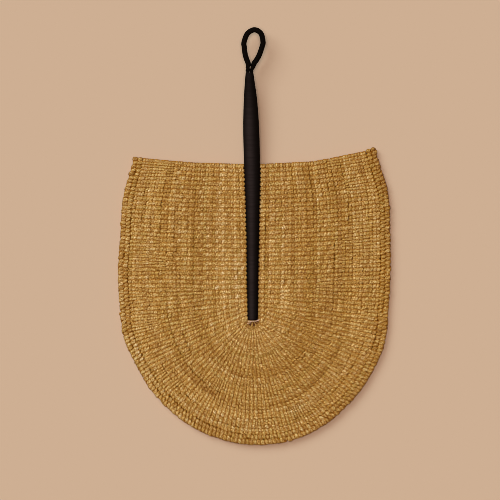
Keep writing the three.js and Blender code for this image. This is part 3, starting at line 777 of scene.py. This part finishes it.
# The neck binding: a thin black thong, wound twice round the legs on the sleeve's mouth, then once
# higher up where they part. Between the turns the straw inside shows in the groove.
binding_low, binding_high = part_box("neck_binding")
binding_middle = (binding_low + binding_high) / 2
thong_radius = 0.5 * MM
thong_stations = [(0, 0.6), (1, 1.7), (2, 2.6), (2.5, 5.2), (3, 8.0), (4, 9.0)]
thong_gap = 0.2 * MM
thong_turns, steps_a_turn = 4, 24
bind_steps = np.linspace(0, thong_turns, thong_turns * steps_a_turn + 1)
bind_angle = bind_steps * 2 * math.pi
bind_rise = np.interp(bind_steps, *zip(*thong_stations)) * MM
bind_height = neck_height + bind_rise
left_leg = slice(0, loop_samples // 2 + 1)
leg_heights = loop_heights[left_leg]
leg_edges = half_width[left_leg] - loop_half_width * across[left_leg]
leg_middles = (loop_path[left_leg, 0] + loop_path[::-1][left_leg, 0]) / 2
leg_reach = np.interp(bind_height, leg_heights, leg_edges)
leg_depth = np.interp(bind_height, leg_heights, half_thickness[left_leg]) + thong_gap
bind_middle = np.interp(bind_height, leg_heights, leg_middles)
bind_path = np.stack([bind_middle + leg_reach * np.cos(bind_angle), hub_y + bind_height,
                      binding_middle.z + leg_depth * np.sin(bind_angle)], axis=-1)
bind_rings = swept_rings(bind_path, (0, 1, 0), thong_radius, thong_radius, cord_sides)
binding = swept_piece("neck_thong", [(bind_rings, bind_rise, False)], black_leather)
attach(binding, "root")
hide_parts("neck_binding")

# A straw of the loop's cord, rolled grass like the weave's. It shows deep in the groove between the
# legs, where the thong's turns leave a gap, and runs on inside the leather at both ends.
glimpse_steps = 9
glimpse_rise = np.linspace(3.8, 6.8, glimpse_steps) * MM
glimpse_front = 1.9 * MM
glimpse_half_width, glimpse_half_height = 0.8 * MM, 0.7 * MM
# The straw's pale colour is darkened as painted shade, deep in the groove.
glimpse_painted_shade = 0.25
glimpse_path = np.stack([np.interp(glimpse_rise, bind_rise, bind_middle),
                         hub_y + neck_height + glimpse_rise,
                         np.full(glimpse_steps, binding_middle.z + glimpse_front)], axis=-1)
glimpse_rings = swept_rings(glimpse_path, (1, 0, 0), glimpse_half_width, glimpse_half_height, cord_sides)
glimpse_tints = np.broadcast_to(tie_colour * glimpse_painted_shade, glimpse_rings.shape)
glimpse = swept_piece("loop_cord_straw", [(glimpse_rings, glimpse_rise, False, glimpse_tints)],
                      rolled_straw)
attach(glimpse, "root")

# The table: a plain pale brown board that keeps the fan's shadow. A hand-woven blade doesn't lie
# dead flat, so its rim stands a little clear of the board.
rim_lift = 3.3 * MM
table_colour = linear("#CEAF93")
table_width = 8
bpy.ops.mesh.primitive_plane_add(size=table_width, location=(0, 0, -rim_lift))
table = bpy.context.object
table.name = "table_top"
table_paint, table_shader = surface("pale_table_paint", 0.9, 0)
table_shader.inputs["Base Color"].default_value = (*table_colour, 1)
table.data.materials.append(table_paint)
table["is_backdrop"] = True

# A broad cool lamp from the upper left, a warmer one overhead, and a little even fill. Each gives a
# share of red, green and blue, and together they light a level surface in its own colour.
lamps = [("key_lamp", 44, 135, 42, (0.35, 0.43, 0.47)), ("top_lamp", 88, 135, 24, (0.57, 0.49, 0.45))]
for lamp_name, elevation, heading, spread, shares in lamps:
    lamp = bpy.data.lights.new(lamp_name, "SUN")
    lamp.energy = math.pi * max(shares) / math.sin(math.radians(elevation))
    lamp.color = [share / max(shares) for share in shares]
    lamp.angle = math.radians(spread)
    lamp_object = bpy.data.objects.new(lamp_name, lamp)
    bpy.context.scene.collection.objects.link(lamp_object)
    lamp_object.rotation_euler = (0, math.radians(90 - elevation), math.radians(heading))
fill_shares = [1 - sum(shares) for shares in zip(*(lamp[-1] for lamp in lamps))]
world = bpy.data.worlds.new("studio")
bpy.context.scene.world = world
world.use_nodes = True
fill_light = world.node_tree.nodes["Background"]
fill_light.inputs["Color"].default_value = (*fill_shares, 1)
fill_light.inputs["Strength"].default_value = 1
backdrop = add_node(world, "ShaderNodeBackground",
                    [("Color", (*table_colour, 1), 0), ("Strength", 1.0, 0)])
ray = add_node(world, "ShaderNodeLightPath")
seen = add_node(world, "ShaderNodeMath", [(0, ray, "Is Camera Ray"), (1, ray, "Is Glossy Ray")],
                operation="MAXIMUM")
seen_through = add_node(world, "ShaderNodeMath", [(0, seen, "Value"), (1, ray, "Is Transmission Ray")],
                        operation="MAXIMUM")
sky = add_node(world, "ShaderNodeMixShader",
               [("Fac", seen_through, "Value"), (1, fill_light, "Background"), (2, backdrop, "Background")])
world_output = world.node_tree.nodes["World Output"]
world.node_tree.links.new(sky.outputs["Shader"], world_output.inputs["Surface"])

# The camera looks straight down from six metres through a long lens, 0.6 m of table across.
camera = bpy.data.cameras.new("overhead")
camera.sensor_width = 36
view_width = 0.6
camera_height = 6.0
camera.lens = camera.sensor_width * camera_height / view_width
camera_object = bpy.data.objects.new("overhead", camera)
bpy.context.scene.collection.objects.link(camera_object)
photo_middle = (-3.24 * MM, 84 * MM)
camera_object.location = (hub_x + photo_middle[0], hub_y + photo_middle[1], camera_height)
bpy.context.scene.camera = camera_object
bpy.context.scene.view_settings.view_transform = "Standard"
# A narrower pixel filter than usual keeps the single straws sharp.
bpy.context.scene.cycles.filter_width = 0.7

# The whole object's size.
low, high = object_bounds()
